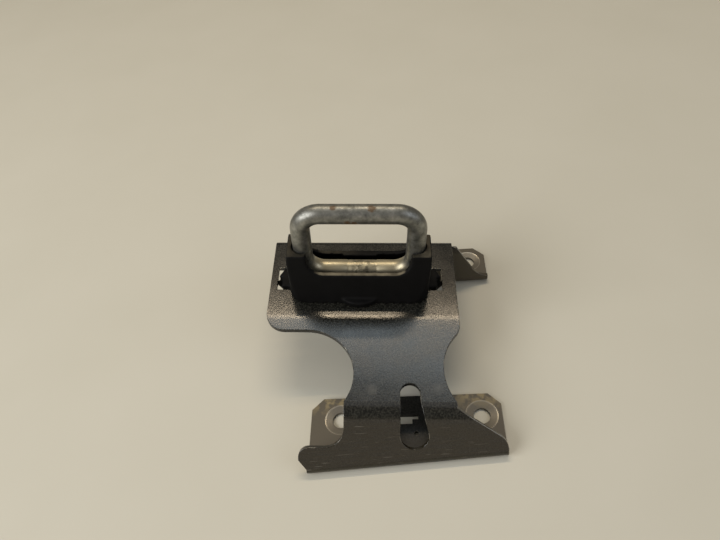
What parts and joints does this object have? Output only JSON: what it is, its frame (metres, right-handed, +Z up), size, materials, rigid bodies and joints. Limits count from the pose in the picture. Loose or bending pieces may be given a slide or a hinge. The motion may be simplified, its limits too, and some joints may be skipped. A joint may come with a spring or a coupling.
{
  "type": "hood latch striker",
  "caption": "Bolt-on hood striker: a folded black sheet bracket on screw feet carries a round-rod loop, with a moulded cover round the loop's base.",
  "frame": {"origin": "midpoint between the two front screw holes, on the plane that the feet stand on", "axes": "+X to the right along the front screw holes, +Y towards the rear foot, +Z up out of the feet's plane"},
  "size_m": [0.1053, 0.1233, 0.0785],
  "materials": {
    "bracket_coating": "worn black coating with fine texture",
    "rod_zinc": "dull worn zinc plating with a few rust spots",
    "saddle_steel": "black coating over steel",
    "cover_plastic": "matt black moulding"
  },
  "bodies": {
    "root": {"bracket": "bracket_coating", "striker_loop": "rod_zinc", "striker_saddle": "saddle_steel", "striker_cover": "cover_plastic"}
  },
  "joints": []
}
